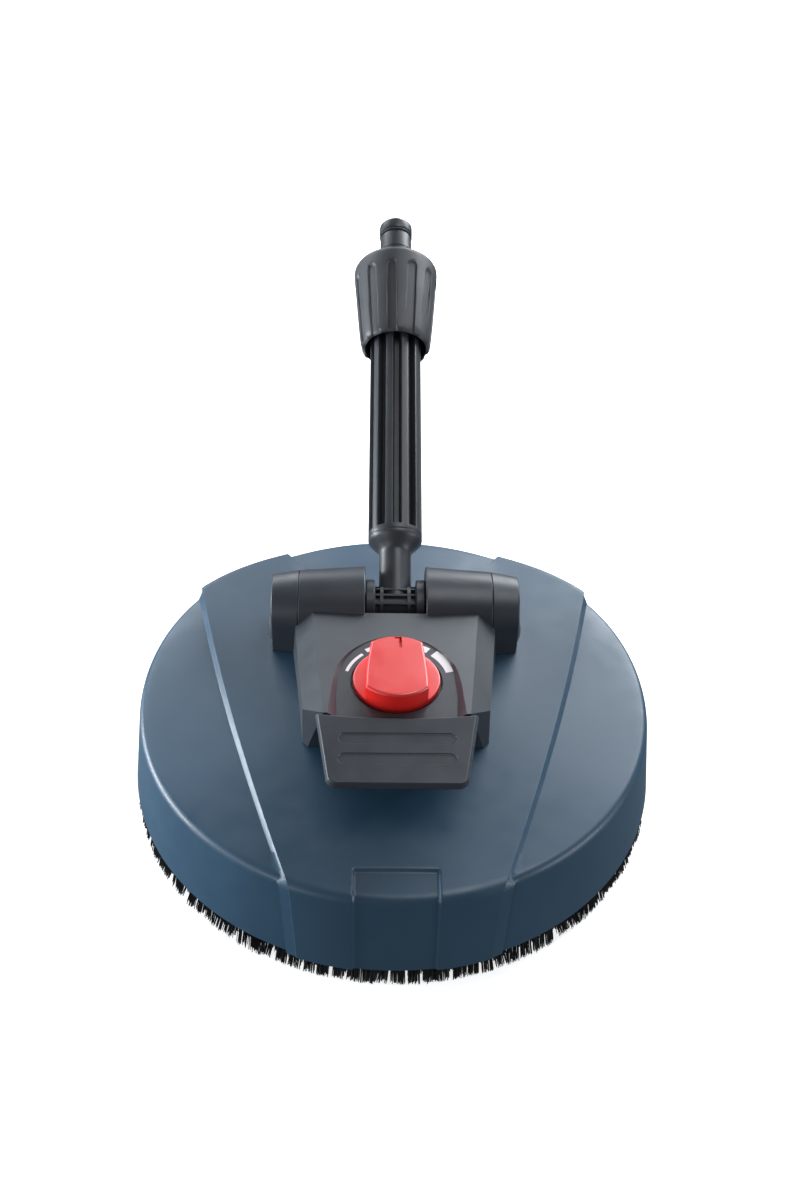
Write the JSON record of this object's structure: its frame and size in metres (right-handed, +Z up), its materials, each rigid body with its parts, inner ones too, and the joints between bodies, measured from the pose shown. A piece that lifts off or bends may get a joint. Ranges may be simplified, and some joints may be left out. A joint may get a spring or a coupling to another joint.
{
  "type": "rotary surface cleaner",
  "caption": "Pressure-washer surface cleaner: round deck with a bristle skirt, spinning jet bar, pressure knob, foot plate and a tilting lance with a bayonet inlet.",
  "frame": {"origin": "on the floor, under the middle of the whole object's box", "axes": "+Z up; -Y towards the foot plate at the front; +Y towards the lance; +X to the right seen from the front plate's side"},
  "size_m": [0.2984, 0.4487, 0.22],
  "materials": {
    "deck_blue": "satin moulded steel-blue plastic with a fine grain",
    "housing_black": "satin moulded black plastic",
    "pedal_black": "satin moulded black plastic",
    "lance_black": "satin moulded black plastic",
    "collar_black": "satin moulded black plastic",
    "knob_red": "satin moulded red plastic",
    "bristle": "black nylon bristle",
    "inner_plastic": "matt black glass-filled plastic",
    "rubber_seal": "matt black nitrile rubber",
    "steel": "stainless steel",
    "brass": "machined brass"
  },
  "bodies": {
    "deck": {"deck_shell": "deck_blue", "bristle_carrier": "inner_plastic", "brush_skirt": "bristle", "housing_cover": "housing_black", "barrel_cap_left": "housing_black", "barrel_cap_right": "housing_black", "trunnion_bush_left": "brass", "trunnion_bush_right": "brass", "trunnion_washer_left": "steel", "trunnion_washer_right": "steel", "valve_body": "inner_plastic", "feed_elbow": "inner_plastic", "knob_seal": "rubber_seal", "swivel_housing": "brass", "bearing_upper": "steel", "bearing_lower": "steel", "swivel_seal": "rubber_seal", "bearing_retainer": "steel", "swivel_screw_1": "steel", "swivel_screw_2": "steel", "swivel_screw_3": "steel", "swivel_screw_4": "steel", "cover_screw_1": "steel", "cover_screw_2": "steel", "cover_screw_3": "steel", "cover_screw_4": "steel", "pedal_pin": "steel", "pedal_spring": "steel"},
    "rotor": {"rotor_shaft": "steel", "rotor_hub": "inner_plastic", "arm_left": "steel", "arm_right": "steel", "jet_left": "brass", "jet_right": "brass", "hub_nut": "steel"},
    "knob": {"pressure_knob": "knob_red", "valve_spindle": "brass"},
    "pedal": {"foot_pedal": "pedal_black"},
    "lance": {"lance_hub": "lance_black", "lance_tube": "lance_black", "water_pipe": "steel", "inlet_nipple": "lance_black", "nipple_o_ring": "rubber_seal", "collar_retainer": "inner_plastic"},
    "collar": {"bayonet_collar": "collar_black"}
  },
  "joints": [
    {"name": "lance_tilt", "type": "hinge", "parent": "deck", "child": "lance", "pos_m": [0, -0.03347, 0.0887], "axis": [1, 0, 0], "range_deg": [0, 64]},
    {"name": "collar_turn", "type": "hinge", "parent": "lance", "child": "collar", "pos_m": [0, 0.15576, 0.17977], "axis": [0, 0.9011, 0.4337], "range_deg": [0, 90]},
    {"name": "knob_turn", "type": "hinge", "parent": "deck", "child": "knob", "pos_m": [0, -0.10897, 0.105], "axis": [0, 0, 1], "range_deg": [-70, 70]},
    {"name": "pedal_press", "type": "hinge", "parent": "deck", "child": "pedal", "pos_m": [0, -0.12997, 0.093], "axis": [1, 0, 0], "range_deg": [0, 8], "stiffness_Nm_per_rad": 0.6, "springref_deg": -6.88},
    {"name": "rotor_spin", "type": "hinge", "parent": "deck", "child": "rotor", "pos_m": [0, -0.07497, 0.0355], "axis": [0, 0, 1], "continuous": true}
  ]
}
